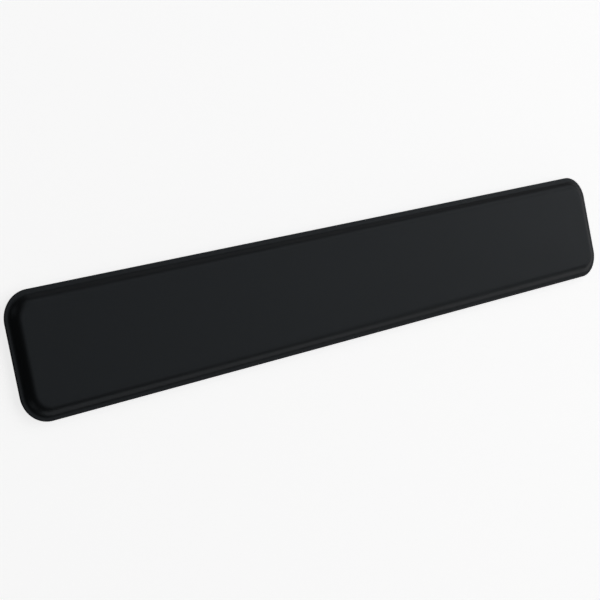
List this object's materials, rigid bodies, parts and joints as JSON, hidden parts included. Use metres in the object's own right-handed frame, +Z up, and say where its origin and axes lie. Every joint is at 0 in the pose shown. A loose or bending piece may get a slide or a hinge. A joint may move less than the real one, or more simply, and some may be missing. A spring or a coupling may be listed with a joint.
{
  "type": "wrist rest",
  "caption": "Slim keyboard wrist rest: a long soft pad with rounded corners, flat top, S-shaped shoulder and narrow lip, on a rigid tray with a grooved non-slip base.",
  "frame": {"origin": "centre of the bottom face, on the desk", "axes": "+X along the keyboard (the long way), +Y from the user towards the keyboard, +Z up"},
  "size_m": [0.42, 0.065, 0.008],
  "materials": {
    "skin": "soft-touch satin",
    "foam": "open-cell memory foam",
    "adhesive": "double-sided film",
    "tray": "fine moulded texture",
    "grip": "matt non-slip"
  },
  "bodies": {
    "root": {"top_cover": "skin", "foam_core": "foam", "foam_adhesive": "adhesive", "flange_adhesive": "adhesive", "base_tray": "tray", "base_adhesive": "adhesive", "non_slip_base": "grip"}
  },
  "joints": []
}
